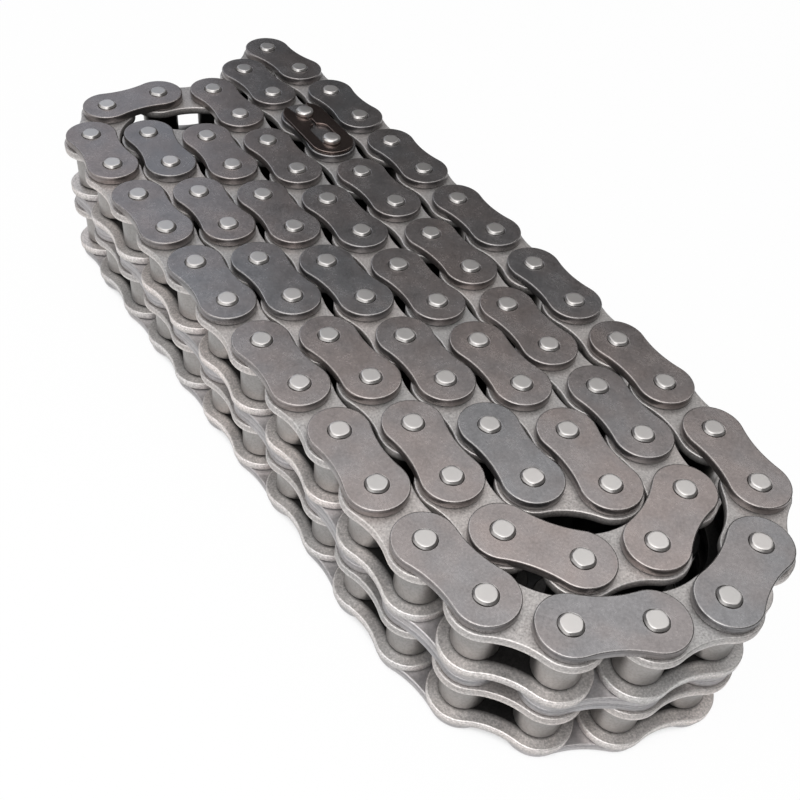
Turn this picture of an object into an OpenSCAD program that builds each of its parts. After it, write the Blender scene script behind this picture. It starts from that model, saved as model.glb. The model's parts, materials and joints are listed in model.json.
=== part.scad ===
// Double strand roller chain, an endless loop laid down on its side in nested rows.
// Every pin stands upright, so Z runs along the pins and each strand is one storey of the stack.
// Roller links (plates, bushes and rollers) and pin links (plates and pins) follow each other
// round the loop, and one pin link comes apart: its cover plate is held by a spring clip.

/* [Chain] */
// Distance between neighbouring pins
pitch = 19.05; // [18.95:0.05:19.4]
// Distance between the middles of the two strands
strand_spacing = 22.78; // [22.78:0.01:23.6]
// Clear width between the two plates of a roller link
inside_w = 12.7; // [11.8:0.1:12.7]
// Thickness of every link plate
plate_t = 2.42; // [2:0.02:2.42]

/* [Link plates] */
// Height of a roller link's plate at its round ends
roller_plate_h = 17.8; // [16.6:0.1:17.9]
// Height of a roller link's plate at its waist
roller_plate_waist = 14.6; // [13:0.1:15.6]
// Height of a pin link's plate at its round ends
pin_plate_h = 16.2; // [15:0.1:16.5]
// Height of a pin link's plate at its waist
pin_plate_waist = 13.7; // [12.4:0.1:14.2]

/* [Pins, bushes and rollers] */
// Diameter of a pin
pin_d = 5.94; // [5.5:0.02:5.98]
// Diameter of the bore of a bush
bush_bore = 6.02; // [6:0.01:6.1]
// Outer diameter of a bush
bush_d = 8.45; // [8:0.05:8.5]
// Diameter of the bore of a roller
roller_bore = 8.57; // [8.56:0.01:8.65]
// Outer diameter of a roller
roller_d = 11.91; // [11:0.01:11.91]
// Width that a roller is broken back at its edges
roller_edge = 0.55; // [0.2:0.05:0.8]

/* [Pin ends] */
// How far a riveted pin stands out of its outer plate
pin_standout = 0.8; // [0.6:0.05:1.6]
// Diameter of a riveted pin end, upset over the plate
rivet_d = 6.1; // [6:0.05:6.8]
// Flat width at the top of a riveted pin end
rivet_flat_d = 5.2; // [4.4:0.1:5.6]

/* [Connecting link] */
// Height that its pins stand above the cover plate
clip_pin_standout = 2.62; // [2.3:0.02:3]
// Thickness of the spring clip
clip_t = 1; // [0.8:0.05:1.1]
// Width of the spring clip
clip_w = 14.7; // [13:0.1:15]
// Diameter of the pins in their clip grooves
neck_d = 4.6; // [4.2:0.1:4.8]
// Width of the wide part of the clip's slot, which a pin's end passes through
slot_w = 6.6; // [6.2:0.1:7]
// Length of the wide part of the slot from the closed end's pin
slot_l = 11.6; // [11:0.1:12.4]
// Width of the slit between the slot and the open end's pin
slit_w = 1; // [0.6:0.1:2]
// Width of the wedge at the tips of the clip's fingers
wedge_w = 7.8; // [6:0.1:9]

/* [Fits] */
// Radial room of a pressed piece in its hole
press_gap = 0.01; // [0.01:0.01:0.02]
// Room between a pin link's outer plate and the roller link's plate beside it
side_gap = 0.2; // [0.1:0.02:0.4]
// Room between the two plates that share the middle of a pin link
centre_gap = 0.04; // [0.02:0.02:0.1]
// Room at each end of a roller
roller_gap = 0.15; // [0.1:0.05:0.3]
// Room above and below the spring clip
clip_gap = 0.05; // [0.02:0.01:0.1]

/* [Hidden] */
$fn = 96;

// Bends of the lying chain at its pivots in degrees, walked from pin to pin, left turns positive.
// The walk goes down the right side, round the near end, up the left side and then inwards.
right_side = [-5, 1, -1, -1, 2, -2, -1, 0, 0, -2, -7];
near_turn = [-37, -23, -32, -16, -26, -27, -7];
left_side = [-6, 5, 1, -1, 0, 0, 0, 0, -3];
far_turn = [-36, -50, -20, -70];
middle_row = [-1, 0, -1, 2, 0, 0, -1, -1, -1, -6];
near_fold = [-119, -58];
fold_row = [4, 0, 2, 2, -4, 1, 1, -3];
far_fold = [59, 119];
inner_row = [5, -1, -1, 1, 0, 3, -3, -6, 7];
inner_turn = [33, 39, 41, 54, 7];
clip_row = [7, -4, -2, 6, -2, 1, -2, -2, 8, -2];
outer_bends = concat(right_side, near_turn, left_side, far_turn);
inner_bends = concat(middle_row, near_fold, fold_row, far_fold, inner_row, inner_turn, clip_row);
bends = concat(outer_bends, inner_bends);
first_heading = -84;

function ahead(heading) = pitch * [cos(heading), sin(heading)];
function bend_at(i) = i < len(bends) ? bends[i] : 0;
headings = [for (i = 0, h = first_heading; i <= len(bends); h = h + bend_at(i), i = i + 1) h];
function step_at(i) = i < len(headings) ? ahead(headings[i]) : [0, 0];
walk = [for (i = 0, p = [0, 0]; i <= len(headings); p = p + step_at(i), i = i + 1) p];

// The last pin closes the loop: it lies one pitch from both ends of the walk, on the far side
closing = walk[0] - walk[len(walk) - 1];
closing_rise = sqrt(pitch * pitch - closing * closing / 4);
apex = (walk[0] + walk[len(walk) - 1]) / 2 + closing_rise * [-closing[1], closing[0]] / norm(closing);
loop = concat([apex], walk);
loop_x = [for (p = loop) p[0]];
loop_y = [for (p = loop) p[1]];
loop_centre = [min(loop_x) + max(loop_x), min(loop_y) + max(loop_y)] / 2;
pins = [for (p = loop) p - loop_centre];

// A link has the number of the pin that it starts at: even for pin links, odd for roller links.
// The free run can swing out of the nest, and the hook at its end rides on its last link.
free_links = 8;
nest_pin_links = [18:2:74];
nest_roller_links = [19:2:75];
connecting_link = 76;
hook_pin_links = [78, 0];
hook_roller_links = [77, 79, 1];
spinning_links = 2;
rollers_per_link = 4;
function free_roller_link(n) = 19 - 2 * n;
function free_pin_link(n) = 18 - 2 * n;

// Heights of the stack, from the lower ends of the pins at 0
reach = pitch / 2;
middle_z = pin_standout + 2 * plate_t + side_gap + inside_w / 2 + strand_spacing / 2;
lower_z = middle_z - strand_spacing / 2;
upper_z = middle_z + strand_spacing / 2;
bottom_plate_z = pin_standout;
top_plate_z = 2 * middle_z - pin_standout - plate_t;
top_face_z = top_plate_z + plate_t;
centre_plate_zs = [middle_z - centre_gap / 2 - plate_t, middle_z + centre_gap / 2];
bush_l = inside_w + 2 * plate_t;
roller_l = inside_w - 2 * roller_gap;

pin_r = pin_d / 2;
bush_r = bush_d / 2;
clip_r = clip_w / 2;
neck_r = neck_d / 2;
pin_hole_r = pin_r + press_gap;
bush_hole_r = bush_r + press_gap;
bore_edge = 0.3;
rivet_seat = 0.02;
clip_fit = 0.04;
clip_z = top_face_z + clip_gap;
groove_z = [clip_z - clip_gap / 2, clip_z + clip_t + clip_gap / 2];
clip_pin_top = top_face_z + clip_pin_standout;
clip_pin_edge = 0.5;
stub_room = 0.06;
far = 2 * clip_w;

pin_link_grey = [0.42, 0.41, 0.4];
roller_link_grey = [0.56, 0.55, 0.54];
pin_grey = [0.7, 0.69, 0.68];
roller_grey = [0.66, 0.66, 0.65];
clip_brown = [0.17, 0.14, 0.13];

// Names of the free run's nodes, in pairs of a roller link and a pin link from the nest outwards
function roller_names(n) = n > spinning_links
    ? [str("roller_link_", n, "_rollers")]
    : [for (k = [1:rollers_per_link]) str("roller_link_", n, "_roller_", k)];
function roller_link_names(n) = concat([str("roller_link_", n, "_plates")], roller_names(n));
function pin_link_names(n) = [str("pin_link_", n, "_plates"), str("pin_link_", n, "_pins")];
free_names = [for (n = [1:free_links]) each concat(roller_link_names(n), pin_link_names(n))];

// Puts children on link i: middle at the origin, start pin at -X, next pin at +X
module on_link(i) {
    from = pins[i];
    to = pins[(i + 1) % len(pins)];
    translate((from + to) / 2) rotate(atan2(to[1] - from[1], to[0] - from[0])) children();
}

// Puts children at both pin places of a link
module at_both_pins() {
    for (side = [-1, 1]) translate([side * reach, 0, 0]) children();
}

// Outline of a link plate: two round ends that run smoothly into a hollow waist
module plate_outline(end_r, waist_r) {
    hollow_r = (reach * reach + waist_r * waist_r - end_r * end_r) / (2 * (end_r - waist_r));
    hollow_y = waist_r + hollow_r;
    difference() {
        polygon([[-reach, 0], [0, -hollow_y], [reach, 0], [0, hollow_y]]);
        for (side = [-1, 1]) translate([0, side * hollow_y]) circle(hollow_r, $fn = 256);
    }
    at_both_pins() circle(end_r);
}

// Stamped link plate with its lower face at height z
module link_plate(z, height, waist, hole_r) {
    translate([0, 0, z]) linear_extrude(plate_t) difference() {
        plate_outline(height / 2, waist / 2);
        at_both_pins() circle(hole_r);
    }
}

module pin_plate(z) {
    link_plate(z, pin_plate_h, pin_plate_waist, pin_hole_r);
}

module outer_plates(links) {
    for (i = links) on_link(i) for (z = [bottom_plate_z, top_plate_z]) pin_plate(z);
}

module centre_plates(links) {
    for (i = links) on_link(i) for (z = centre_plate_zs) pin_plate(z);
}

// Plates on both sides of the rollers of one strand, whose middle is at strand_z
module roller_plates(links, strand_z) {
    for (i = links) on_link(i) for (z = [strand_z - bush_l / 2, strand_z + inside_w / 2]) {
        link_plate(z, roller_plate_h, roller_plate_waist, bush_hole_r);
    }
}

// Half section of a tube with broken outer and inner edges, standing on z = 0
module tube_section(bore_r, outer_r, length, outer_edge, inner_edge) {
    polygon([
        [bore_r, inner_edge], [bore_r + inner_edge, 0], [outer_r - outer_edge, 0], [outer_r, outer_edge],
        [outer_r, length - outer_edge], [outer_r - outer_edge, length],
        [bore_r + inner_edge, length], [bore_r, length - inner_edge]
    ]);
}

// Bush pressed into both plates of one strand of a roller link
module bush(strand_z) {
    translate([0, 0, strand_z - bush_l / 2]) rotate_extrude() {
        tube_section(bush_bore / 2, bush_r, bush_l, bore_edge, bore_edge);
    }
}

// Roller that turns freely on its bush
module roller(strand_z) {
    translate([0, 0, strand_z - roller_l / 2]) rotate_extrude() {
        tube_section(roller_bore / 2, roller_d / 2, roller_l, roller_edge, bore_edge);
    }
}

module bushes(links, strand_z) {
    for (i = links) on_link(i) at_both_pins() bush(strand_z);
}

module rollers(links, strand_z) {
    for (i = links) on_link(i) at_both_pins() roller(strand_z);
}

// Half section of the upset end of a pin, from z = 0 up to its seat on the plate
module rivet_section() {
    rivet_edge = min(rivet_d - rivet_flat_d, pin_standout) / 2;
    polygon([
        [0, 0], [rivet_flat_d / 2, 0], [rivet_d / 2, rivet_edge],
        [rivet_d / 2, pin_standout - rivet_seat], [0, pin_standout - rivet_seat]
    ]);
}

// Pin riveted over at both ends
module riveted_pin() {
    rotate_extrude() {
        square([pin_r, 2 * middle_z - 2 * rivet_seat]);
        rivet_section();
        translate([0, 2 * middle_z]) mirror([0, 1]) rivet_section();
    }
}

module riveted_pins(links) {
    for (i = links) on_link(i) at_both_pins() riveted_pin();
}

// Half section of a connecting pin's upper end: the grooved neck, then the broken edge on top
module clip_pin_section(from_z) {
    polygon([
        [0, from_z], [pin_r, from_z], [pin_r, groove_z[0]], [neck_r, groove_z[0]],
        [neck_r, groove_z[1]], [pin_r, groove_z[1]], [pin_r, clip_pin_top - clip_pin_edge],
        [pin_r - clip_pin_edge, clip_pin_top], [0, clip_pin_top]
    ]);
}

// Connecting pin that runs through both strands
module full_clip_pin() {
    rotate_extrude() {
        rivet_section();
        clip_pin_section(pin_standout / 2);
    }
}

// Connecting pin at the open pivot: only its stretches inside the connecting link's own plates,
// so that the hook's last roller link can leave it sideways
module stub_clip_pin() {
    rotate_extrude() {
        rivet_section();
        square([pin_r, bottom_plate_z + plate_t + stub_room]);
        clip_pin_section(top_plate_z - stub_room);
    }
    translate([0, 0, centre_plate_zs[0] + stub_room]) {
        cylinder(r = pin_r, h = 2 * plate_t + centre_gap - 2 * stub_room);
    }
}

// The two seats of the spring clip, and its slot, slit and wedge, in the plane of the link
module clip_openings() {
    at_both_pins() circle(neck_r + clip_fit);
    translate([-reach, -slot_w / 2]) square([slot_l - slot_w / 2, slot_w]);
    translate([-reach + slot_l - slot_w / 2, 0]) circle(slot_w / 2);
    translate([0, -slit_w / 2]) square([reach, slit_w]);
    wedge_slope = (wedge_w / 2 - neck_r - clip_fit) / clip_r;
    seat_half = neck_r + clip_fit;
    translate([reach, 0]) {
        polygon([[0, -seat_half], [far, -seat_half - wedge_slope * far],
                 [far, seat_half + wedge_slope * far], [0, seat_half]]);
    }
}

module nest_outer_plates() { color(pin_link_grey) outer_plates(nest_pin_links); }
module nest_centre_plates() { color(pin_link_grey) centre_plates(nest_pin_links); }
module nest_pins() { color(pin_grey) riveted_pins(nest_pin_links); }
module nest_lower_roller_plates() { color(roller_link_grey) roller_plates(nest_roller_links, lower_z); }
module nest_upper_roller_plates() { color(roller_link_grey) roller_plates(nest_roller_links, upper_z); }
module nest_lower_bushes() { color(pin_grey) bushes(nest_roller_links, lower_z); }
module nest_upper_bushes() { color(pin_grey) bushes(nest_roller_links, upper_z); }
module nest_lower_rollers() { color(roller_grey) rollers(nest_roller_links, lower_z); }
module nest_upper_rollers() { color(roller_grey) rollers(nest_roller_links, upper_z); }

module connecting_plate() {
    color(pin_link_grey) on_link(connecting_link) pin_plate(bottom_plate_z);
}

module connecting_centre_plates() {
    color(pin_link_grey) centre_plates([connecting_link]);
}

module connecting_pins() {
    color(pin_grey) on_link(connecting_link) {
        translate([-reach, 0, 0]) full_clip_pin();
        translate([reach, 0, 0]) stub_clip_pin();
    }
}

module cover_plate() {
    color(pin_link_grey) on_link(connecting_link) pin_plate(top_plate_z);
}

// Flat spring clip: closed end round the first pin, fingers open round the second
module spring_clip() {
    color(clip_brown) on_link(connecting_link) translate([0, 0, clip_z]) linear_extrude(clip_t) {
        difference() {
            union() {
                at_both_pins() circle(clip_r);
                square([pitch, clip_w], center = true);
            }
            clip_openings();
        }
    }
}

module hook_outer_plates() { color(pin_link_grey) outer_plates(hook_pin_links); }
module hook_centre_plates() { color(pin_link_grey) centre_plates(hook_pin_links); }
module hook_pins() { color(pin_grey) riveted_pins(hook_pin_links); }

module hook_roller_plates() {
    color(roller_link_grey) for (z = [lower_z, upper_z]) roller_plates(hook_roller_links, z);
}

module hook_bushes() {
    color(pin_grey) for (z = [lower_z, upper_z]) bushes(hook_roller_links, z);
}

module hook_rollers() {
    color(roller_grey) for (z = [lower_z, upper_z]) rollers(hook_roller_links, z);
}

// Plates of free roller link n with the bushes pressed into them
module roller_link_plates(n) {
    links = [free_roller_link(n)];
    color(roller_link_grey) for (z = [lower_z, upper_z]) {
        roller_plates(links, z);
        bushes(links, z);
    }
}

module roller_link_rollers(n) {
    color(roller_grey) for (z = [lower_z, upper_z]) rollers([free_roller_link(n)], z);
}

// Roller k of free roller link n: 1 and 2 on the pin nearer the nest, 3 and 4 on the other
module single_roller(n, k) {
    side = k <= 2 ? reach : -reach;
    z = k % 2 == 1 ? lower_z : upper_z;
    color(roller_grey) on_link(free_roller_link(n)) translate([side, 0, 0]) roller(z);
}

module pin_link_plates(n) {
    links = [free_pin_link(n)];
    color(pin_link_grey) {
        outer_plates(links);
        centre_plates(links);
    }
}

module pin_link_pins(n) { color(pin_grey) riveted_pins([free_pin_link(n)]); }

nest_outer_plates();
nest_centre_plates();
nest_pins();
nest_lower_roller_plates();
nest_upper_roller_plates();
nest_lower_bushes();
nest_upper_bushes();
nest_lower_rollers();
nest_upper_rollers();
connecting_plate();
connecting_centre_plates();
connecting_pins();
cover_plate();
spring_clip();
hook_outer_plates();
hook_centre_plates();
hook_pins();
hook_roller_plates();
hook_bushes();
hook_rollers();
for (n = [1:free_links]) {
    roller_link_plates(n);
    if (n > spinning_links) {
        roller_link_rollers(n);
    } else for (k = [1:rollers_per_link]) {
        single_roller(n, k);
    }
    pin_link_plates(n);
    pin_link_pins(n);
}
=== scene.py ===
"""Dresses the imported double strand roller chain: stamped plates, turned rollers, riveted pins and clip."""

import json
import logging
import math
from collections.abc import Callable
from dataclasses import dataclass, field
from enum import Enum

import bpy
import numpy as np
from mathutils import Euler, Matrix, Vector
from mathutils.geometry import convex_hull_2d, tessellate_polygon

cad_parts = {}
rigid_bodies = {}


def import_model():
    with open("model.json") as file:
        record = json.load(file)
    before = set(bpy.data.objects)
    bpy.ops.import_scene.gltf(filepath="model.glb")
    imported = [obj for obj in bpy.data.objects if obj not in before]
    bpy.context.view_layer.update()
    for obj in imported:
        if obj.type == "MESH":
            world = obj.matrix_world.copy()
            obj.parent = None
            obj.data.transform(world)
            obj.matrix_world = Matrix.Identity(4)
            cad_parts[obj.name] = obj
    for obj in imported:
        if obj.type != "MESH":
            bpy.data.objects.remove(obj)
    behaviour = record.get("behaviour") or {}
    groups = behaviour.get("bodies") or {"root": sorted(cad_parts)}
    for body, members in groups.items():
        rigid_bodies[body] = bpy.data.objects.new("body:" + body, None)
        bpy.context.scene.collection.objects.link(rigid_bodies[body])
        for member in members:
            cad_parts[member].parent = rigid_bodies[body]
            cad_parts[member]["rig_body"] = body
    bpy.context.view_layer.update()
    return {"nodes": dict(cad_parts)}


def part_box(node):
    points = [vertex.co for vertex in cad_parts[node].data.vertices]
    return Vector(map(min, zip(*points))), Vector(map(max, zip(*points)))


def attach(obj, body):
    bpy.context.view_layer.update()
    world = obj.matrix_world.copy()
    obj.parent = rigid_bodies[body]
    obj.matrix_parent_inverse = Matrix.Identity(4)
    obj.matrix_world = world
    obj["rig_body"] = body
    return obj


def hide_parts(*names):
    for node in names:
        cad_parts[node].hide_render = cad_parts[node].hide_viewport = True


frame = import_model()

LOG = logging.getLogger("chain")
MM = 0.001
FULL_TURN = 2.0 * math.pi
TONE_SEED = 60

Colour = tuple[float, float, float]
WHITE: Colour = (1.0, 1.0, 1.0)
Point = tuple[float, float]
Ramp = tuple[float, float]
Section = list[tuple[float, float, float]]
Choice = Callable[[Vector, Vector], tuple["Shape", bool]]


class Wire:
    """A shader socket that numbers and other sockets can be added to, taken from or multiplied by."""

    def __init__(self, graph: "Graph", socket: bpy.types.NodeSocket | None) -> None:
        """Keeps the socket and the graph that new nodes go into."""
        self.graph = graph
        self.socket = socket

    def _math(self, operation: str, *values: "Wire | float") -> "Wire":
        """Adds a Math node with these inputs in order."""
        return self.graph.node("ShaderNodeMath", {"operation": operation}, dict(enumerate(values)))

    def __add__(self, other: "Wire | float") -> "Wire":
        """Sum."""
        return self._math("ADD", self, other)

    __radd__ = __add__

    def __mul__(self, other: "Wire | float") -> "Wire":
        """Product."""
        return self._math("MULTIPLY", self, other)

    __rmul__ = __mul__

    def __sub__(self, other: "Wire | float") -> "Wire":
        """Difference."""
        return self._math("SUBTRACT", self, other)

    def __rsub__(self, other: float) -> "Wire":
        """Difference, this socket being taken away."""
        return self._math("SUBTRACT", other, self)

    def ramp(self, low: float, high: float) -> "Wire":
        """This value from low to high as 0 to 1, smooth and held at both ends."""
        settings = {"interpolation_type": "SMOOTHSTEP"}
        return self.graph.node("ShaderNodeMapRange", settings, {0: self, 1: low, 2: high})


@dataclass(frozen=True)
class NoiseKind:
    """One kind of noise, with features of about 1 / scale metres."""

    scale: float
    detail: float
    rough: float


GRAIN = NoiseKind(1.0, 2.0, 0.65)
PITS = NoiseKind(0.45, 3.0, 0.7)
SCRATCHES = NoiseKind(2.2, 1.0, 0.8)
CLOUDS = NoiseKind(130.0, 4.0, 0.6)
STAINS = NoiseKind(70.0, 3.0, 0.5)


class Graph:
    """The node tree of a material or of the world."""

    def __init__(self, owner: bpy.types.Material | bpy.types.World) -> None:
        """Empties the owner's node tree.

        Args:
            owner: The new material or world.
        """
        owner.use_nodes = True
        self.tree = owner.node_tree
        self.tree.nodes.clear()

    def node(self, kind: str, settings: dict | None = None, inputs: dict | None = None,
             out: int | str = 0) -> Wire:
        """Adds any node.

        Args:
            kind: The node's type name.
            settings: Properties, set before the sockets are read.
            inputs: Values or wires by socket name or number.
            out: The output to return.

        Returns:
            The wire of that output.
        """
        made = self.tree.nodes.new(kind)
        for key, value in (settings or {}).items():
            setattr(made, key, value)
        for key, value in (inputs or {}).items():
            socket = made.inputs[key]
            if isinstance(value, Wire):
                self.tree.links.new(value.socket, socket)
            else:
                socket.default_value = value
        return Wire(self, made.outputs[out] if made.outputs else None)

    def attribute(self, name: str, out: str = "Fac") -> Wire:
        """The value of a mesh attribute."""
        return self.node("ShaderNodeAttribute", {"attribute_name": name}, out=out)

    def mix(self, factor: Wire | float, first: Wire | Colour, second: Wire | Colour,
            blend: str = "MIX") -> Wire:
        """The first colour at factor 0 and the second at factor 1, mixed in the way of the blend type."""
        inputs = {0: factor, 6: opaque(first), 7: opaque(second)}
        return self.node("ShaderNodeMix", {"data_type": "RGBA", "blend_type": blend}, inputs, out=2)

    def noise(self, at: Wire, kind: NoiseKind, unit: float = 1.0) -> Wire:
        """Noise of one kind, its scale multiplied by the unit."""
        inputs = {"Vector": at, "Scale": unit * kind.scale, "Detail": kind.detail, "Roughness": kind.rough}
        return self.node("ShaderNodeTexNoise", None, inputs, out="Fac")


def opaque(colour: Wire | Colour) -> Wire | tuple[float, float, float, float]:
    """A colour with alpha 1, or the wire as it is."""
    return colour if isinstance(colour, Wire) else (*colour, 1.0)


class SurfaceMaps:
    """What varies over a steel surface: the mesh's own masks and the noises that every finish uses."""

    SCRATCH_STRETCH = (0.16, 1.0, 1.0)
    STAIN_RAMP = (0.35, 0.65)

    def __init__(self, graph: Graph, grain_scale: float) -> None:
        """Adds the nodes.

        Args:
            graph: The material's graph.
            grain_scale: Scale of the grain, which the pits and scratches follow.
        """
        local = graph.attribute("local", "Vector")
        # Besides tone, edge wear and sheared wall, these masks hold the painted shade and light and the lower
        # plates' matt share.
        self.tone, self.edge, self.wall, self.painted_shading, self.matt = (
            graph.attribute(name) for name in ("tone", "edge", "wall", "painted_shading", "matt"))
        stretched = graph.node("ShaderNodeVectorMath", {"operation": "MULTIPLY"},
                               {0: local, 1: self.SCRATCH_STRETCH})
        self.grain = graph.noise(local, GRAIN, grain_scale)
        self.pits = graph.noise(local, PITS, grain_scale)
        self.cloud = graph.noise(local, CLOUDS)
        self.scratches = graph.noise(stretched, SCRATCHES, grain_scale)
        self.stain = graph.noise(local, STAINS).ramp(*self.STAIN_RAMP)


@dataclass(frozen=True)
class SteelFinish:
    """One steel surface: its colours, its gloss and how it is worn.

    The first fields differ between finishes. Those after painted_light_lift are the same for all of them.
    """

    slot: str
    cool: Colour
    warm: Colour
    worn: Colour
    roughness: float
    speckle: float = 0.25
    blotch: float = 0.16
    edge_wear: float = 0.7
    bump: float = 0.3
    grain: float = 1500.0
    streak: float = 0.0
    metallic: float = 1.0
    wall_shade: float = 0.5
    # How much lighter the plates of the matt share are painted, as painted light.
    painted_light_lift: float = 0.0
    warm_by_tone: float = 0.7
    warm_by_stain: float = 0.45
    warm_less: float = 0.07
    matt_cools: float = 0.75
    pit_ramp: Ramp = (0.6, 0.76)
    streak_ramp: Ramp = (0.66, 0.8)
    scratch_ramp: Ramp = (0.6, 0.8)
    wear_ramp: Ramp = (0.3, 0.62)
    least_wear: float = 0.5
    darkest_tone: float = 0.94
    tone_spread: float = 0.12
    pit_dark: float = 0.3
    wall_pit_level: float = 1.35
    # How dark painted shade makes the colour, and how unevenly.
    painted_shade_dark: float = 0.88
    painted_shade_patches: float = 0.1
    worn_sheen: float = 0.08
    cloud_rough: float = 0.1
    grain_rough: float = 0.16
    wall_rough: float = 0.1
    matt_rough: float = 0.15
    grain_height: float = 0.6
    pit_height: float = 0.5
    scratch_depth: float = 0.25
    faint_scratch: float = 0.3
    bump_distance: float = 0.06 * MM

    def body(self, g: Graph, m: SurfaceMaps) -> Wire:
        """Colour of the steel, its mottling and pits, with painted shade and painted light, before the edges are
        worn.

        Args:
            g: The material's graph.
            m: What varies over the surface.

        Returns:
            The colour.
        """
        warmth = m.tone * self.warm_by_tone + m.stain * self.warm_by_stain - self.warm_less
        body = g.mix(m.matt * self.matt_cools, g.mix(warmth, self.cool, self.warm), self.cool)
        shade = 1.0 + (m.cloud - 0.5) * (2.0 * self.blotch) + (m.grain - 0.5) * (2.0 * self.speckle)
        shade = shade - m.pits.ramp(*self.pit_ramp) * (self.pit_dark * self.speckle)
        shade = shade + m.scratches.ramp(*self.streak_ramp) * self.streak
        shade = shade * (self.darkest_tone + m.tone * self.tone_spread)
        shade = shade * (1.0 - m.wall * self.wall_shade * (self.wall_pit_level - m.pits))
        # Painted shade darkens the colour unevenly; where the mask is below 0 it is painted light.
        shade = shade * (1.0 - m.painted_shading * (self.painted_shade_dark + m.cloud * self.painted_shade_patches))
        # The lower pin plates are painted lighter: painted light on their shaded places.
        shade = shade * (1.0 + m.matt * self.painted_light_lift)
        grey = g.node("ShaderNodeCombineColor", None, {0: shade, 1: shade, 2: shade})
        return g.mix(1.0, body, grey, "MULTIPLY")

    def wear(self, m: SurfaceMaps) -> Wire:
        """How bare the edges are rubbed, uneven with the grain and hidden under painted shade."""
        uneven = m.grain.ramp(*self.wear_ramp) * (1.0 - self.least_wear) + self.least_wear
        return m.edge * uneven * self.edge_wear * (1.0 - m.painted_shading.ramp(0.0, 1.0))

    def material(self) -> bpy.types.Material:
        """Builds the node material.

        Returns:
            The material, named after the slot.
        """
        made = bpy.data.materials.new(self.slot)
        g = Graph(made)
        m = SurfaceMaps(g, self.grain)
        wear = self.wear(m)
        colour = g.mix(wear, self.body(g, m), self.worn)
        rough = self.roughness + (m.cloud - 0.5) * self.cloud_rough
        rough = rough + (m.grain - 0.5) * (self.grain_rough * self.speckle) + m.wall * self.wall_rough
        rough = rough - wear * self.worn_sheen + m.matt * self.matt_rough
        depth = self.scratch_depth * (1.0 if self.streak else self.faint_scratch)
        height = m.grain * self.grain_height + m.pits * self.pit_height
        height = height - m.scratches.ramp(*self.scratch_ramp) * depth
        bump = g.node("ShaderNodeBump", None,
                      {"Height": height, "Strength": self.bump, "Distance": self.bump_distance})
        shader = g.node("ShaderNodeBsdfPrincipled", None, {
            "Base Color": colour, "Metallic": self.metallic, "Roughness": rough, "Normal": bump})
        g.node("ShaderNodeOutputMaterial", None, {"Surface": shader})
        return made


class Finish(Enum):
    """The finishes of the chain, one for each material slot of the record."""

    # Its lower plates are painted twice as light, as painted light on their shaded places.
    PIN_LINK = SteelFinish(
        "pin_link_steel", (0.213, 0.21, 0.216), (0.246, 0.213, 0.204), (0.6, 0.57, 0.55), 0.26,
        speckle=0.36, blotch=0.36, bump=0.22, edge_wear=0.35, metallic=0.86, painted_light_lift=1.0)
    ROLLER_LINK = SteelFinish(
        "roller_link_steel", (0.36, 0.352, 0.347), (0.395, 0.364, 0.349), (0.72, 0.7, 0.68), 0.46,
        speckle=0.75, bump=0.7, grain=1900.0, edge_wear=0.4, metallic=0.78, wall_shade=-0.2)
    ROLLER = SteelFinish(
        "roller_steel", (0.25, 0.242, 0.235), (0.275, 0.258, 0.247), (0.5, 0.49, 0.48), 0.38,
        speckle=0.2, streak=0.1, edge_wear=0.25, metallic=0.92)
    PIN = SteelFinish(
        "pin_steel", (0.48, 0.465, 0.453), (0.508, 0.486, 0.472), (0.6, 0.58, 0.565), 0.32,
        speckle=0.02, blotch=0.1, bump=0.01, grain=500.0, edge_wear=0.5, metallic=0.9)
    BUSH = SteelFinish("bush_steel", (0.4, 0.4, 0.4), (0.43, 0.42, 0.41), (0.6, 0.6, 0.6), 0.4)
    CLIP = SteelFinish(
        "clip_steel", (0.135, 0.105, 0.095), (0.155, 0.113, 0.1), (0.4, 0.34, 0.31), 0.2,
        speckle=0.1, bump=0.15, edge_wear=0.45)


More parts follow.
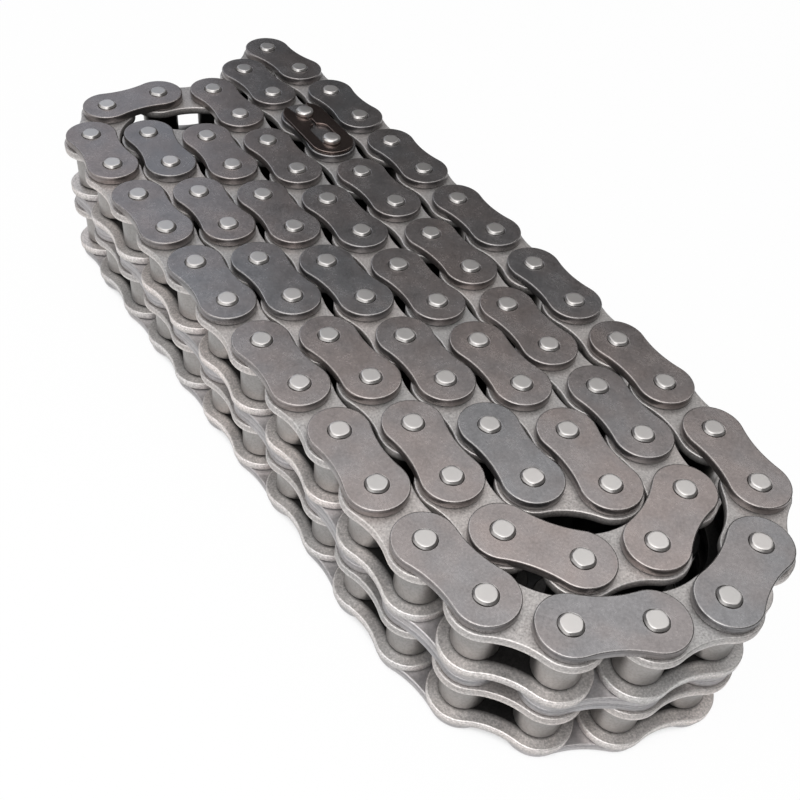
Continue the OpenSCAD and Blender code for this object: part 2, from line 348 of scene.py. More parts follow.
@dataclass
class Shape:
    """Points and faces of a piece about its own middle, with its worn edges, sheared walls, painted shade and
    painted light.
    """

    points: list[tuple[float, float, float]] = field(default_factory=list)
    faces: list[tuple[int, ...]] = field(default_factory=list)
    edge: list[float] = field(default_factory=list)
    wall: list[float] = field(default_factory=list)
    painted_shading: list[float] = field(default_factory=list)
    # 1 on the lower pin plates: rougher, cooler and painted lighter.
    matt: float = 0.0

    def ring(self, xy: list[Point], z: float, edge: float = 0.0, wall: float = 0.0,
             painted_shading: float = 0.0) -> list[int]:
        """Adds a closed ring of points at one height.

        Args:
            xy: The ring's plan.
            z: Its height.
            edge: Share of edge wear on it.
            wall: Share of sheared wall on it.
            painted_shading: Share of painted shade on it, or below 0 how much painted light.

        Returns:
            The numbers of the new points.
        """
        first = len(self.points)
        self.points += [(x, y, z) for x, y in xy]
        self.edge += [edge] * len(xy)
        self.wall += [wall] * len(xy)
        self.painted_shading += [painted_shading] * len(xy)
        return list(range(first, first + len(xy)))

    def strip(self, outer: list[int], inner: list[int], up: bool = True) -> None:
        """Fills between two counter-clockwise rings of the same count.

        Args:
            outer: The outer ring, or the lower ring of a side that looks outwards.
            inner: The inner ring, or the upper one.
            up: Whether a flat strip looks up.
        """
        n = len(outer)
        for i in range(n):
            quad = (outer[i], outer[(i + 1) % n], inner[(i + 1) % n], inner[i])
            self.faces.append(quad if up else quad[::-1])

    def stack(self, rings: list[list[int]]) -> None:
        """Joins each ring to the next one up, so that the faces look outwards."""
        for lower, upper in zip(rings, rings[1:]):
            self.strip(lower, upper)

    def cap(self, ring: list[int], up: bool) -> None:
        """Fills a ring of any outline with triangles.

        Args:
            ring: The ring.
            up: Whether the faces look up.
        """
        corners = [Vector(self.points[i]) / MM for i in ring]
        for a, b, c in tessellate_polygon([corners]):
            turn = (corners[b] - corners[a]).to_2d().cross((corners[c] - corners[a]).to_2d())
            face = (ring[a], ring[b], ring[c])
            self.faces.append(face if (turn > 0.0) == up else face[::-1])


@dataclass
class Place:
    """Where a piece stands: its middle, its turn about Z and its number round the loop."""

    middle: Vector
    turn: float
    number: int


Part = tuple[Shape, Place, float]


@dataclass
class PaintedInnerShade:
    """Painted shade between the rows of the folded chain, where its plates and rollers shade each other."""

    corners: np.ndarray
    top: float
    fade: float = 3.5 * MM
    top_fade: float = 1.0 * MM

    def share(self, points: np.ndarray) -> np.ndarray:
        """How much painted shade each point gets.

        Args:
            points: Points of the chain, one to a row.

        Returns:
            From 0 at the outside of the folded chain, or near its top, to 1 inside.
        """
        ahead = np.roll(self.corners, -1, axis=0) - self.corners
        inward = np.stack([-ahead[:, 1], ahead[:, 0]], 1) / np.linalg.norm(ahead, axis=1)[:, None]
        depth = ((points[:, None, :2] - self.corners) * inward).sum(2).min(1)
        return np.clip(depth / self.fade, 0.0, 1.0) * np.clip((self.top - points[:, 2]) / self.top_fade, 0.0, 1.0)


def add_object(name: str, data: bpy.types.ID) -> bpy.types.Object:
    """Adds an object to the scene.

    Args:
        name: Its name.
        data: Its mesh, lamp or camera.

    Returns:
        The new object.
    """
    made = bpy.data.objects.new(name, data)
    bpy.context.scene.collection.objects.link(made)
    return made


@dataclass
class Batch:
    """Pieces of one CAD node, gathered into one mesh."""

    name: str
    painted_inner_shade: PaintedInnerShade
    parts: list[Part]

    DRIFT = np.array([0.137, 0.071, 0.053])
    LIFT = 3.0

    def build(self, material: bpy.types.Material) -> bpy.types.Object:
        """Makes the mesh object with its local, tone, edge, wall and matt attributes and its attribute of painted
        shade and light.

        Args:
            material: The finish's material.

        Returns:
            The new object.
        """
        points, faces, maps, first = [], [], {}, 0
        for shape, place, tone in self.parts:
            own = np.array(shape.points)
            c, s = math.cos(place.turn), math.sin(place.turn)
            turned = own @ np.array([[c, s, 0.0], [-s, c, 0.0], [0.0, 0.0, 1.0]])
            points.append(turned + np.array(place.middle))
            faces += [tuple(first + i for i in face) for face in shape.faces]
            first += len(own)
            drift = self.DRIFT * (place.number + 1)
            # Painted shade inside the folded chain, laid over the piece's own painted shade and light.
            inner_shade_share = self.painted_inner_shade.share(points[-1])
            for key, values in (
                ("local", own + drift + np.array([0.0, 0.0, place.middle.z * self.LIFT])),
                ("tone", np.full(len(own), tone)), ("edge", np.array(shape.edge)),
                ("wall", np.array(shape.wall)), ("painted_shading", np.array(shape.painted_shading) * (1.0 - inner_shade_share) + inner_shade_share),
                ("matt", np.full(len(own), shape.matt))):
                maps.setdefault(key, []).append(values)
        mesh = bpy.data.meshes.new(self.name)
        mesh.from_pydata(np.concatenate(points).tolist(), [], faces)
        for key, values in maps.items():
            kind, part = ("FLOAT_VECTOR", "vector") if key == "local" else ("FLOAT", "value")
            data = mesh.attributes.new(key, kind, "POINT").data
            data.foreach_set(part, np.concatenate(values).astype(np.float32).ravel())
        mesh.shade_smooth()
        mesh.materials.append(material)
        return add_object(self.name, mesh)


def circle(radius: float, count: int) -> list[Point]:
    """Points of a circle."""
    turns = [FULL_TURN * i / count for i in range(count)]
    return [(radius * math.cos(a), radius * math.sin(a)) for a in turns]


def arc(centre: float, radius: float, start: float, end: float, steps: int = 18) -> list[Point]:
    """Points of an arc round a centre on X, between two angles in degrees."""
    turns = [math.radians(start + (end - start) * i / steps) for i in range(steps + 1)]
    return [(centre + radius * math.cos(a), radius * math.sin(a)) for a in turns]


def quarter_turn(steps: int) -> list[float]:
    """Angles of a quarter turn in equal steps."""
    return [0.5 * math.pi * i / steps for i in range(steps + 1)]


@dataclass
class LinkPlate:
    """Stamped link plate: rounded on the punch side, sharper where it broke off, with two holes."""

    reach: float
    end_r: float
    waist_r: float
    hole_r: float
    thick: float
    # On the side towards the rollers, 1 the upper and -1 the lower face, a lit rim is painted lighter and the face
    # further in is painted dark as shadow.
    painted_shade_side: int = 0
    top_round: float = 0.3 * MM
    low_round: float = 0.18 * MM
    hole_round: float = 0.14 * MM
    flat: float = 0.14 * MM
    tear_start: float = 0.1
    tear_full: float = 0.3
    painted_lit_rim: float = 2.4 * MM
    painted_rim_light: float = -0.55
    painted_shadow_fade: float = 1.3 * MM
    end_steps: int = 26
    waist_steps: int = 6
    middle_steps: int = 4
    round_steps: int = 3

    def half(self, inset: float) -> list[Point]:
        """Outline of the plate's right half, from the bottom of the waist round the end to its top.

        Args:
            inset: How far inside the real outline it runs.

        Returns:
            The points, the first and last of which lie on the middle line.
        """
        hollow_r = (self.reach**2 + self.waist_r**2 - self.end_r**2) / (2.0 * (self.end_r - self.waist_r))
        hollow_y = self.waist_r + hollow_r
        meet = math.atan2(hollow_y, -self.reach)
        sweep = math.atan2(self.reach, hollow_y)
        waist = [sweep * i / self.waist_steps for i in range(self.waist_steps)]
        turn = [-meet + 2.0 * meet * i / self.end_steps for i in range(self.end_steps + 1)]
        bend, tip = hollow_r + inset, self.end_r - inset
        low = [(bend * math.sin(a), -hollow_y + bend * math.cos(a)) for a in waist]
        end = [(self.reach + tip * math.cos(a), tip * math.sin(a)) for a in turn]
        return low + end + [(x, -y) for x, y in reversed(low)]

    def outline(self, inset: float) -> list[Point]:
        """The whole outline, counter-clockwise from the bottom of the waist."""
        right = self.half(inset)
        return right + [(-x, -y) for x, y in right[1:-1]]

    def hole(self, rim: list[Point], radius: float) -> list[Point]:
        """Points of the right hole that face the points of a rim round it."""
        turns = [math.atan2(y, x - self.reach) for x, y in rim]
        return [(self.reach + radius * math.cos(a), radius * math.sin(a)) for a in turns]

    def side_levels(self) -> list[tuple[float, float, float, float]]:
        """The plate's side from its lower to its upper flat.

        Returns:
            Inset, height, edge wear and sheared wall of each ring.
        """
        half_t, quarter = self.thick / 2.0, quarter_turn(self.round_steps)
        levels = [(self.low_round + self.flat, -half_t, 0.0, 0.0)]
        levels += [(self.low_round * (1 - math.sin(a)), -half_t + self.low_round * (1 - math.cos(a)), 0.4, 0.3)
                   for a in quarter]
        levels += [(0.0, self.tear_start * half_t, 0.0, 0.3), (0.0, self.tear_full * half_t, 0.0, 0.9)]
        levels += [(self.top_round * (1 - math.cos(a)), half_t - self.top_round * (1 - math.sin(a)),
                    1.0 - 0.8 * math.cos(a), 0.5 * math.cos(a)) for a in quarter]
        return levels + [(self.top_round + self.flat, half_t, 0.0, 0.0)]

    def shape(self) -> Shape:
        """Builds the plate about its own middle.

        Returns:
            The closed shape.
        """
        made = Shape()
        half_t = self.thick / 2.0
        # Wall and rim rings on the side towards the rollers are painted lighter, as painted light.
        rings = [made.ring(self.outline(d), z, edge, wall, self.painted_rim_light if z * self.painted_shade_side > 0.0 else 0.0)
                 for d, z, edge, wall in self.side_levels()]
        made.stack(rings)
        for up, rim, inset in ((True, rings[-1], self.top_round), (False, rings[0], self.low_round)):
            z, inset, painted_shading = (half_t if up else -half_t), inset + self.flat, 0.0
            # On that face a painted lit rim, then painted shadow fading in over the rest and round the holes.
            if self.painted_shade_side == (1 if up else -1):
                for inset, painted_shading in ((self.painted_lit_rim, self.painted_rim_light), (self.painted_lit_rim + self.painted_shadow_fade, 1.0)):
                    inner = made.ring(self.outline(inset), z, painted_shading=painted_shading)
                    made.strip(rim, inner, up)
                    rim = inner
            self._face(made, rim, z, up, inset, painted_shading)
        return made

    def _face(self, made: Shape, rim: list[int], z: float, up: bool, inset: float, painted_shading: float) -> None:
        """Fills one flat side between its rim and the two holes, and lines the holes to mid-thickness.

        Args:
            made: The shape to add to.
            rim: The side's outermost flat ring.
            z: The side's height.
            up: Whether it is the upper side.
            inset: Inset of the rim.
            painted_shading: Share of painted shade on it.
        """
        right = self.half(inset)
        top_y = right[-1][1]
        bars = [(0.0, top_y * (1.0 - 2.0 * i / self.middle_steps)) for i in range(1, self.middle_steps)]
        middle = made.ring(bars, z, painted_shading=painted_shading)
        count = len(right)
        loops = [rim[:count] + middle, rim[count - 1:] + rim[:1] + middle[::-1]]
        inner_z = z - (self.hole_round if up else -self.hole_round)
        steps = ((self.hole_r + self.hole_round + self.flat, z, 0.0), (self.hole_r + self.hole_round, z, 0.6),
                 (self.hole_r, inner_z, 0.3), (self.hole_r, 0.0, 0.0))
        for side, loop in zip((1.0, -1.0), loops):
            outer = loop
            for radius, height, edge in steps:
                xy = [(side * x, side * y) for x, y in self.hole(right + bars, radius)]
                inner = made.ring(xy, height, edge, painted_shading=painted_shading)
                made.strip(outer, inner, up)
                outer = inner


@dataclass
class Turned:
    """A piece turned on a lathe, its ends beyond square_above from the middle upset a little out of round.

    Its section holds the radius, height and edge wear of each point, from the lowest up its outside. Wear
    below 0 says how dull a point is.
    """

    section: Section
    steps: int
    closed: bool = False
    squareness: float = 0.0
    square_above: float = math.inf
    lobes: int = 4

    def shape(self) -> Shape:
        """Revolves the section.

        Returns:
            The shape: a ring for a closed section, or a shaft with flat ends.
        """
        made = Shape()
        rings = []
        for radius, z, edge in self.section:
            plan = circle(radius, self.steps)
            if abs(z) > self.square_above:
                plan = [self._squared(x, y) for x, y in plan]
            rings.append(made.ring(plan, z, max(edge, 0.0), max(-edge, 0.0)))
        made.stack(rings + rings[:1] if self.closed else rings)
        if not self.closed:
            made.faces += [tuple(reversed(rings[0])), tuple(rings[-1])]
        return made

    def _squared(self, x: float, y: float) -> Point:
        """Moves a point of a circle in at the flats between the lobes."""
        part = 1.0 - self.squareness * (0.5 + 0.5 * math.cos(self.lobes * math.atan2(y, x)))
        return x * part, y * part


def rounded(radius: float, z: float, size: float, out: int, up: int, steps: int) -> Section:
    """Section of a rounded corner, from its side to its end face.

    Args:
        radius: Radius of the corner before rounding.
        z: Height of the corner before rounding.
        size: Radius of the rounding.
        out: 1 for an outer corner, -1 for one in a bore.
        up: 1 at the upper end, -1 at the lower.
        steps: Number of facets.

    Returns:
        Points with nearly full wear on the rounding.
    """
    return [(radius - out * size * (1 - math.cos(a)), z - up * size * (1 - math.sin(a)), 0.9)
            for a in quarter_turn(steps)]


@dataclass
class Sleeve:
    """Ring with rounded edges: a roller or a bush."""

    radius: float
    bore: float
    length: float
    soft: float
    bore_soft: float
    facets: int
    steps: int
    bore_facets: int = 2

    def shape(self) -> Shape:
        """Builds the sleeve about its own middle.

        Returns:
            The closed shape.
        """
        top = self.length / 2.0
        section = rounded(self.radius, -top, self.soft, 1, -1, self.facets)[::-1]
        section += rounded(self.radius, top, self.soft, 1, 1, self.facets)
        section += rounded(self.bore, top, self.bore_soft, -1, 1, self.bore_facets)[::-1]
        section += rounded(self.bore, -top, self.bore_soft, -1, -1, self.bore_facets)
        return Turned(section, self.steps, closed=True).shape()


def softened(outline: list[Point], size: float, sharp: float = 0.4) -> list[Point]:
    """Rounds the sharp corners of a closed outline.

    Args:
        outline: The points in order.
        size: How far from a corner its rounding starts.
        sharp: Turn in radians from which a point counts as a corner.

    Returns:
        The outline with a short curve at each such corner.
    """
    made = []
    corners = [Vector(p) for p in outline]
    for i, here in enumerate(corners):
        back, ahead = corners[i - 1] - here, corners[(i + 1) % len(corners)] - here
        if math.pi - back.angle(ahead) < sharp:
            made.append(here)
            continue
        start = here + back.normalized() * min(size, 0.45 * back.length)
        end = here + ahead.normalized() * min(size, 0.45 * ahead.length)
        for t in (0.0, 0.25, 0.5, 0.75, 1.0):
            made.append(start * (1 - t) ** 2 + here * (2 * t * (1 - t)) + end * t**2)
    return [(p.x, p.y) for p in made]


def inset_outline(outline: list[Point], size: float) -> list[Point]:
    """Moves every point of a counter-clockwise outline inwards, square to its own corner.

    Args:
        outline: The points in order.
        size: How far in they move.

    Returns:
        The moved points.
    """
    made = []
    corners = [Vector(p) for p in outline]
    for i, here in enumerate(corners):
        into = (here - corners[i - 1]).normalized()
        away = (corners[(i + 1) % len(corners)] - here).normalized()
        side = Vector((-into.y - away.y, into.x + away.x))
        side = side.normalized() / max(0.5, side.length / 2.0)
        made.append((here.x + side.x * size, here.y + side.y * size))
    return made


@dataclass
class SpringClip:
    """Flat clip with a closed end round one connecting pin and two fingers that snap round the other."""

    reach: float
    thick: float
    half_width: float
    seat_r: float = 2.34 * MM
    slot_half: float = 3.3 * MM
    slot_run: float = 8.3 * MM
    slit_half: float = 0.5 * MM
    wedge_rise: float = 0.212
    edge_round: float = 0.2 * MM
    corner: float = 0.7 * MM

    def outline(self) -> list[Point]:
        """Outline of the clip, counter-clockwise, with the closed end at -X.

        Returns:
            One loop, because the slot opens through the slit and the wedge.
        """
        r, seat, rise = self.half_width, self.seat_r, self.wedge_rise
        run = (-rise * seat + math.sqrt(r**2 * (1 + rise**2) - seat**2)) / (1 + rise**2)
        lip = math.degrees(math.atan2(seat + rise * run, run))
        slit = math.degrees(math.asin(self.slit_half / seat))
        slot = math.degrees(math.asin(self.slit_half / self.slot_half))
        slot_end = -self.reach + self.slot_run
        outside = arc(self.reach, r, lip, 90.0) + arc(-self.reach, r, 90.0, 270.0, 36)
        outside += arc(self.reach, r, -90.0, -lip)
        inside = arc(self.reach, seat, -90.0, -180.0 + slit, 8)
        inside += arc(slot_end, self.slot_half, -slot, -90.0, 10)
        inside += [(-self.reach, -self.slot_half)] + arc(-self.reach, seat, -90.0, -180.0, 12)
        return softened(outside + inside + [(x, -y) for x, y in reversed(inside[:-1])], self.corner)

    def shape(self) -> Shape:
        """Builds the clip with rounded edges about its own middle.

        Returns:
            The closed shape.
        """
        made = Shape()
        outline, half, soft = self.outline(), self.thick / 2.0, self.edge_round
        quarter = quarter_turn(3)
        levels = [(soft * (1 - math.sin(a)), -half + soft * (1 - math.cos(a)), 0.5) for a in quarter]
        levels += [(soft * (1 - math.cos(a)), half - soft * (1 - math.sin(a)), 1.0 - 0.8 * math.cos(a))
                   for a in quarter]
        made.stack([made.ring(inset_outline(outline, d), z, edge) for d, z, edge in levels])
        for side in (1.0, -1.0):
            made.cap(made.ring(inset_outline(outline, soft), side * half), side > 0.0)
        return made


@dataclass
class Islands:
    """The separate solids of a CAD node."""

    node: str
    weld: float = 0.002 * MM

    def boxes(self) -> list[tuple[Vector, Vector]]:
        """Finds each solid's lowest and highest corner.

        Returns:
            The corners, ordered along Y, then X, then Z.
        """
        mesh = frame["nodes"][self.node].data
        co = np.zeros(len(mesh.vertices) * 3, np.float32)
        mesh.vertices.foreach_get("co", co)
        co = co.reshape(-1, 3)
        _, first, same = np.unique(np.round(co / self.weld).astype(np.int64), axis=0,
                                   return_index=True, return_inverse=True)
        ends = np.zeros(len(mesh.edges) * 2, np.int32)
        mesh.edges.foreach_get("vertices", ends)
        ends = same.reshape(-1)[ends].reshape(-1, 2)
        group = np.arange(len(first))
        while True:
            low = np.minimum(group[ends[:, 0]], group[ends[:, 1]])
            before = group.copy()
            np.minimum.at(group, ends[:, 0], low)
            np.minimum.at(group, ends[:, 1], low)
            group = group[group]
            if (group == before).all():
                break
        points = co[first]
        found = []
        for g in np.unique(group):
            own = points[group == g]
            found.append((Vector(own.min(0)), Vector(own.max(0))))
        return sorted(found, key=lambda b: tuple(round(v, 6) for v in (b[0].y + b[1].y, b[0].x + b[1].x, b[0].z)))

    def size(self) -> Vector:
        """Size of the first solid."""
        low, high = self.boxes()[0]
        return high - low


class Layout:
    """The chain's pins, and where each plate, bush and roller sits on them."""

    CANDIDATES = 4

    def __init__(self) -> None:
        """Reads every pin's place from the frame."""
        self.pins: list[Vector] = []
        for node in sorted(frame["nodes"]):
            if node.endswith("_pins"):
                for low, high in Islands(node).boxes():
                    at = ((low + high) / 2.0).to_2d()
                    if all((at - p).length > MM for p in self.pins):
                        self.pins.append(at)
        solids = Islands("connecting_pins").boxes()
        ends = [((low + high) / 2.0).to_2d() for low, high in solids]
        tallest = max(range(len(solids)), key=lambda i: solids[i][1].z - solids[i][0].z)
        self.full_pin = ends[tallest]
        self.stub_pin = max(ends, key=lambda at: (at - self.full_pin).length)
        self.pitch = (self.stub_pin - self.full_pin).length
        LOG.info("%d pins, pitch %.3f mm", len(self.pins), self.pitch / MM)

    def nearest(self, at: Vector, count: int) -> list[int]:
        """Numbers of the pins nearest to a place in plan."""
        return sorted(range(len(self.pins)), key=lambda i: (self.pins[i] - at).length)[:count]

    def on_pin(self, low: Vector, high: Vector) -> Place:
        """Place of a piece that stands round one pin."""
        middle = (low + high) / 2.0
        return Place(middle, 0.0, self.nearest(middle.to_2d(), 1)[0])

    def on_link(self, low: Vector, high: Vector) -> Place:
        """Place of a plate: the two pins whose middle it has give its turn.

        Args:
            low: Lowest corner of the plate.
            high: Highest corner.

        Returns:
            Its place, turned along the link.
        """
        middle = (low + high) / 2.0
        at = middle.to_2d()
        near = self.nearest(at, self.CANDIDATES)
        pairs = [(a, b) for a in near for b in near if a < b]
        best = min(pairs, key=lambda p: ((self.pins[p[0]] + self.pins[p[1]]) / 2.0 - at).length)
        way = self.pins[best[1]] - self.pins[best[0]]
        return Place(middle, math.atan2(way.y, way.x), best[0])


@dataclass
class ChainSizes:
    """Sizes of the chain's pieces, read from the frame where the frame has them."""

    reach: float
    plate_t: float
    roller_plate_r: float
    pin_plate_r: float
    bush_l: float
    roller_l: float
    roller_r: float
    bush_r: float
    pin_l: float
    rivet_r: float
    roller_waist: float = 7.3 * MM
    pin_waist: float = 6.85 * MM
    pin_r: float = 2.97 * MM
    bush_bore_r: float = 3.01 * MM
    bush_round: float = 0.25 * MM
    roller_play: float = 0.06 * MM
    roller_round: float = 0.7 * MM
    roller_bore_round: float = 0.3 * MM
    fit: float = 0.01 * MM
    standout: float = 0.8 * MM
    seat_gap: float = 0.02 * MM
    neck_r: float = 2.3 * MM
    neck_chamfer: float = 0.1 * MM
    clip_room: float = 0.025 * MM
    clip_pin_edge: float = 0.5 * MM


# Inset and drop from the rim and top of a rivet head in millimetres, with wear or, below 0, dullness
RIVET_CROWN = ((0.0, 0.74, -0.5), (0.012, 0.72, -0.5), (0.036, 0.68, -0.5), (0.34, 0.17, -0.45),
               (0.37, 0.12, -0.2), (0.41, 0.065, 0.2), (0.47, 0.025, 0.2), (0.56, 0.0, 0.1),
               (1.0, 0.0, 0.0), (2.5, 0.0, 0.0))
RIVET_FOOT_INSET = 0.05 * MM
RIVET_SQUARENESS = 0.06
PIN_LOBES = (3, 4, 5)
PIN_STEPS = 30
CONNECTING_PIN_STEPS = 40
CLIP_TONE = 0.5


class ChainDresser:
    """Builds every visible piece of the chain over the CAD frame."""

    def __init__(self) -> None:
        """Reads the layout and the sizes, and makes the materials."""
        self.layout = Layout()
        self.random = np.random.default_rng(TONE_SEED)
        self.materials = {finish: finish.value.material() for finish in Finish}
        pin, roller, bush, cover = (Islands(node).size() for node in (
            "nest_pins", "nest_lower_rollers", "nest_lower_bushes", "cover_plate"))
        self.sizes = ChainSizes(
            reach=self.layout.pitch / 2.0, plate_t=cover.z,
            roller_plate_r=self.end_radius("nest_upper_roller_plates"),
            pin_plate_r=self.end_radius("cover_plate"),
            bush_l=bush.z, roller_l=roller.z, roller_r=roller.x / 2.0, bush_r=bush.x / 2.0,
            pin_l=pin.z, rivet_r=pin.x / 2.0)
        strands = (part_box("nest_lower_rollers"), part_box("nest_upper_rollers"))
        self.strand_middles = [(low.z + high.z) / 2.0 for low, high in strands]
        # The painted shade inside the folded chain reaches in from the hull of its pins and stops at the top of
        # the upper strand.
        corners = np.array([self.layout.pins[i] for i in convex_hull_2d(self.layout.pins)])
        turning = np.cross(corners[1] - corners[0], corners[2] - corners[1])
        top = strands[1][1].z + self.sizes.plate_t / 2.0
        self.painted_inner_shade = PaintedInnerShade(corners if turning > 0.0 else corners[::-1], top)
        # The lower pin plates are rougher and cooler, and painted lighter: painted light on their shaded places.
        self.glossy_plate, self.dull_plate = self.pin_plate(), self.pin_plate()
        self.dull_plate.matt = 1.0
        self.roller_plates = {side: self.roller_plate(side) for side in (-1, 1)}
        self.roller, self.bush = self.roller_shape(), self.bush_shape()
        self.pins = [self.riveted_pin(lobes) for lobes in PIN_LOBES]

    def end_radius(self, node: str) -> float:
        """Radius of a plate's round ends.

        Args:
            node: The node whose first solid is such a plate.

        Returns:
            What the plate's box has beyond the link's reach, halved.
        """
        low, high = Islands(node).boxes()[0]
        along = self.layout.pitch * abs(math.cos(self.layout.on_link(low, high).turn))
        return (high.x - low.x - along) / 2.0

    def pin_plate(self) -> Shape:
        """Plate of a pin link."""
        s = self.sizes
        return LinkPlate(s.reach, s.pin_plate_r, s.pin_waist, s.pin_r + s.fit, s.plate_t).shape()

    def roller_plate(self, painted_shade_side: int) -> Shape:
        """Plate of a roller link, with a painted lit rim and painted shadow on the side towards its rollers: 1
        above, -1 below.
        """
        s = self.sizes
        return LinkPlate(s.reach, s.roller_plate_r, s.roller_waist, s.bush_r + s.fit, s.plate_t, painted_shade_side).shape()

    def roller_shape(self) -> Shape:
        """Roller, loose on its bush."""
        s = self.sizes
        return Sleeve(s.roller_r, s.bush_r + s.roller_play, s.roller_l, s.roller_round, s.roller_bore_round,
                      facets=3, steps=32).shape()

    def bush_shape(self) -> Shape:
        """Bush pressed into its two plates."""
        s = self.sizes
        return Sleeve(s.bush_r, s.bush_bore_r, s.bush_l, s.bush_round, s.bush_round, facets=2, steps=24).shape()

    def rivet_head(self, top: float) -> Section:
        """Section of an upset pin end, from its seat on the plate up to its flat top.

        Args:
            top: Height of the top.

        Returns:
            The points, from the shaft to the middle of the top.
        """
        s = self.sizes
        seat = top - s.standout + s.seat_gap
        return [(s.pin_r, seat, 0.0), (s.rivet_r - RIVET_FOOT_INSET, seat, 0.1),
                *((s.rivet_r - inset * MM, top - drop * MM, wear) for inset, drop, wear in RIVET_CROWN)]

    def riveted_pin(self, lobes: int) -> Shape:
        """Pin with an upset, nearly round end at each side.

        Args:
            lobes: How many soft corners the ends have.

        Returns:
            The shape.
        """
        upper = self.rivet_head(self.sizes.pin_l / 2.0)
        lower = [(r, -z, e) for r, z, e in reversed(upper)]
        return Turned(lower + upper, PIN_STEPS, squareness=RIVET_SQUARENESS,
                      square_above=self.sizes.pin_l / 4.0, lobes=lobes).shape()

    def connecting_pin(self, low: Vector, high: Vector) -> Shape:
        """A connecting pin, or one stretch of it: riveted below, grooved for the clip, broken edge on top.

        Args:
            low: Lowest corner of its solid.
            high: Highest corner.

        Returns:
            The shape about the solid's own middle.
        """
        s = self.sizes
        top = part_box("connecting_pins")[1][2]
        room, edge, chamfer, flat_r = s.clip_room, s.clip_pin_edge, s.neck_chamfer, s.pin_r * 0.3
        clip_low, clip_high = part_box("spring_clip")
        groove_low, groove_high = clip_low[2] - room, clip_high[2] + room
        foot = [(r, s.pin_l - z, e) for r, z, e in reversed(self.rivet_head(s.pin_l))]
        groove = [(s.pin_r, groove_low - chamfer, 0.1), (s.pin_r - chamfer, groove_low, 0.6),
                  (s.neck_r, groove_low, 0.0), (s.neck_r, groove_high, 0.0),
                  (s.pin_r - chamfer, groove_high, 0.6), (s.pin_r, groove_high + chamfer, 0.2)]
        crown = [(s.pin_r, top - edge * 1.2, 0.2), (s.pin_r - edge * 0.1, top - edge * 0.85, 0.9),
                 (s.pin_r - edge * 0.9, top - edge * 0.1, 0.9), (s.pin_r - edge * 1.25, top, 0.3),
                 (flat_r, top, 0.0)]
        section = [p for p in foot + groove + crown if low.z - room < p[1] < high.z + room]
        if low.z >= room:
            section = [(flat_r, low.z, 0.0), (s.pin_r, low.z, 0.0)] + section
        if top - high.z >= room:
            section += [(s.pin_r, high.z, 0.0), (flat_r, high.z, 0.0)]
        middle = (low.z + high.z) / 2.0
        return Turned([(r, z - middle, e) for r, z, e in section], CONNECTING_PIN_STEPS).shape()

    def finish_batch(self, node: str, finish: Finish, parts: list[Part]) -> None:
        """Makes the object of a node's pieces and hangs it on the node's body.

        Args:
            node: The CAD node that it replaces.
            finish: Its finish.
            parts: Each piece's shape, place and tone.
        """
        made = Batch(f"{node}_steel", self.painted_inner_shade, parts).build(self.materials[finish])
        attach(made, frame["nodes"][node]["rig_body"])
        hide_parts(node)
        LOG.info("%s: %d pieces, %d faces", made.name, len(parts), len(made.data.polygons))

    def dress_clip(self, node: str) -> None:
        """Replaces the clip's node by the detailed clip, closed end at the full-length pin.

        Args:
            node: The CAD node.
        """
        low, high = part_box(node)
        closed, opened = self.layout.full_pin, self.layout.stub_pin
        way = opened - closed
        axis = 0 if abs(way.x) > abs(way.y) else 1
        half_width = abs(closed[axis] - (low if way[axis] > 0.0 else high)[axis])
        shape = SpringClip(self.sizes.reach, high.z - low.z, half_width).shape()
        middle = Vector((*((closed + opened) / 2.0), (low.z + high.z) / 2.0))
        place = Place(middle, math.atan2(way.y, way.x), 0)
        self.finish_batch(node, Finish.CLIP, [(shape, place, CLIP_TONE)])

    def dress(self, node: str, finish: Finish, choose: Choice) -> None:
        """Replaces one CAD node by detailed pieces at the same places.

        Args:
            node: The CAD node.
            finish: Its finish.
            choose: Gives, for a solid's corners, its shape and whether it lies along a link.
        """
        parts = []
        for low, high in Islands(node).boxes():
            shape, on_link = choose(low, high)
            place = self.layout.on_link(low, high) if on_link else self.layout.on_pin(low, high)
            turn = place.turn if on_link else float(self.random.uniform(0.0, FULL_TURN))
            parts.append((shape, Place(place.middle, turn, place.number), float(self.random.random())))
        self.finish_batch(node, finish, parts)

    def choose_pin_plate(self, low: Vector, high: Vector) -> tuple[Shape, bool]:
        """The plates on top are smoother than those below them, which are also painted lighter."""
        return self.glossy_plate if low.z > self.strand_middles[1] else self.dull_plate, True

    def choose_roller_link(self, low: Vector, high: Vector) -> tuple[Shape, bool]:
        """Tells the thin plates from the tall bushes, and which way the side of a plate with painted light and
        shadow looks.

        Args:
            low: Lowest corner of the solid.
            high: Highest corner.

        Returns:
            Its shape, and whether it lies along the link.
        """
        if high.z - low.z >= 2.0 * self.sizes.plate_t:
            return self.bush, False
        height = (low.z + high.z) / 2.0
        nearest = min(self.strand_middles, key=lambda middle: abs(middle - height))
        return self.roller_plates[1 if height < nearest else -1], True

    def run(self) -> None:
        """Dresses every node of the frame."""
        for node in sorted(frame["nodes"]):
            if node == "spring_clip":
                self.dress_clip(node)
            elif node == "connecting_pins":
                self.dress(node, Finish.PIN, lambda low, high: (self.connecting_pin(low, high), False))
            elif node.endswith("_pins"):
                self.dress(node, Finish.PIN,
                           lambda low, high: (self.pins[self.random.integers(len(self.pins))], False))
            elif node.endswith("bushes"):
                self.dress(node, Finish.BUSH, lambda low, high: (self.bush, False))
            elif node.endswith("rollers") or "_roller_" in node and not node.endswith("plates"):
                self.dress(node, Finish.ROLLER, lambda low, high: (self.roller, False))
            elif node.startswith("roller_link") or "roller_plates" in node:
                self.dress(node, Finish.ROLLER_LINK, self.choose_roller_link)
            else:
                self.dress(node, Finish.PIN_LINK, self.choose_pin_plate)


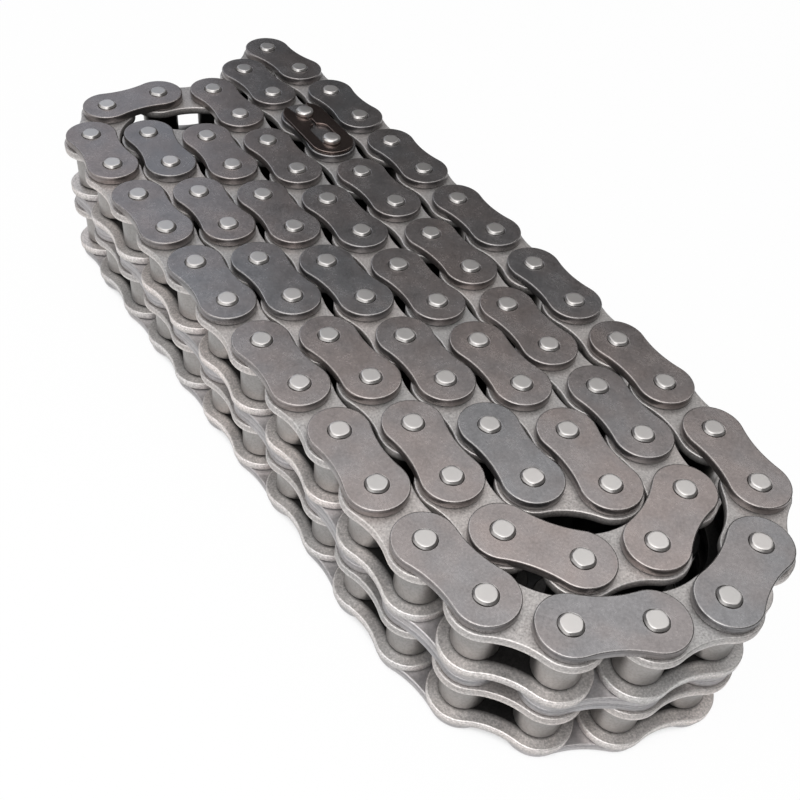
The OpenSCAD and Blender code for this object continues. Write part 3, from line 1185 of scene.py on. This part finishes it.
@dataclass(frozen=True)
class SoftLamp:
    """A rectangular soft lamp that points at the chain.

    The azimuth runs from +X towards +Y and the elevation up from the floor, both in degrees. A face of
    level 1 is as bright as white.
    """

    name: str
    azimuth: float
    elevation: float
    distance: float
    size: tuple[float, float]
    level: float
    colour: Colour = WHITE

    def hang(self) -> None:
        """Adds the lamp to the scene."""
        data = bpy.data.lights.new(self.name, "AREA")
        data.shape = "RECTANGLE"
        data.size, data.size_y = self.size
        data.energy = self.level * math.pi * self.size[0] * self.size[1]
        data.color = self.colour
        around, up = math.radians(self.azimuth), math.radians(self.elevation)
        way = Vector((math.cos(up) * math.cos(around), math.cos(up) * math.sin(around), math.sin(up)))
        made = add_object(self.name, data)
        made.location = way * self.distance
        made.rotation_euler = (-way * self.distance).to_track_quat("-Z", "Y").to_euler()


LAMPS = (
    SoftLamp("overhead_softbox", 50.0, 80.0, 1.25, (1.7, 1.6), 1.45),
    SoftLamp("window_softbox", 86.0, 33.0, 1.5, (0.9, 0.8), 0.7, (0.88, 0.95, 1.08)),
    SoftLamp("key_softbox", -147.0, 60.0, 0.51, (0.46, 0.46), 1.7),
    SoftLamp("camera_softbox", -126.0, 43.7, 0.376, (0.24, 0.24), 1.7),
    SoftLamp("front_softbox", -176.0, 27.0, 1.1, (2.2, 1.15), 1.3),
)


@dataclass
class Studio:
    """Pale floor, soft lamps and the photograph's camera."""

    camera_at: tuple[float, float, float] = (-0.13682, -0.18858, 0.23003)
    camera_turn: tuple[float, float, float] = (44.524, -4.826, -33.889)
    lens: float = 45.61
    sensor: float = 36.0
    clip_start: float = 0.01
    world: float = 0.08
    backdrop: float = 0.97
    floor_half: float = 3.0
    floor_grey: float = 0.7
    shadow_reach: float = 0.035
    shadow_full: float = 0.08
    shadow_gone: float = 0.45

    def camera(self) -> None:
        """Places the camera where the photograph's was."""
        data = bpy.data.cameras.new("photo_camera")
        data.lens = self.lens
        data.sensor_width = self.sensor
        data.clip_start = self.clip_start
        made = add_object("photo_camera", data)
        made.location = self.camera_at
        made.rotation_euler = Euler([math.radians(a) for a in self.camera_turn], "XYZ")
        bpy.context.scene.camera = made

    def floor_material(self) -> bpy.types.Material:
        """Pale floor that the camera sees as almost white, with a soft shadow where the chain rests.

        Returns:
            The material.
        """
        made = bpy.data.materials.new("studio_floor")
        g = Graph(made)
        path = "ShaderNodeLightPath"
        seen = g.node(path, out="Is Camera Ray") + g.node(path, out="Is Glossy Ray")
        seen = seen + g.node(path, out="Is Transmission Ray")
        matt = g.node("ShaderNodeBsdfDiffuse", None, {"Color": opaque((self.floor_grey,) * 3)})
        glow = g.node("ShaderNodeEmission", None, {"Color": opaque(WHITE), "Strength": 1.0})
        bare = g.node("ShaderNodeAmbientOcclusion", {"samples": 8}, {"Distance": self.shadow_reach}, "AO")
        lift = g.node("ShaderNodeMath", {"operation": "MULTIPLY", "use_clamp": True},
                      {0: seen, 1: bare.ramp(self.shadow_full, self.shadow_gone) * self.backdrop})
        both = g.node("ShaderNodeMixShader", None, {0: lift, 1: matt, 2: glow})
        g.node("ShaderNodeOutputMaterial", None, {"Surface": both})
        return made

    def floor(self) -> None:
        """Lays a wide floor under the chain."""
        half = self.floor_half
        mesh = bpy.data.meshes.new("studio_floor")
        corners = [(-half, -half, 0.0), (half, -half, 0.0), (half, half, 0.0), (-half, half, 0.0)]
        mesh.from_pydata(corners, [], [(0, 1, 2, 3)])
        mesh.materials.append(self.floor_material())
        made = add_object("studio_floor", mesh)

    def surroundings(self) -> None:
        """Sets a dim world that the camera sees as almost white."""
        bpy.context.scene.world = bpy.data.worlds.new("studio")
        g = Graph(bpy.context.scene.world)
        seen = g.node("ShaderNodeLightPath", out="Is Camera Ray")
        level = g.node("ShaderNodeMapRange", None, {"Value": seen, "To Min": self.world, "To Max": self.backdrop})
        back = g.node("ShaderNodeBackground", None, {"Color": opaque(WHITE), "Strength": level})
        g.node("ShaderNodeOutputWorld", None, {"Surface": back})

    def build(self) -> None:
        """Sets up the world, camera, floor and lamps."""
        self.surroundings()
        bpy.context.scene.view_settings.view_transform = "Standard"
        self.camera()
        self.floor()
        for lamp in LAMPS:
            lamp.hang()


def main() -> None:
    """Builds the studio and dresses the chain."""
    logging.basicConfig(level=logging.INFO, format="%(message)s")
    Studio().build()
    ChainDresser().run()


if __name__ == "__main__":
    main()
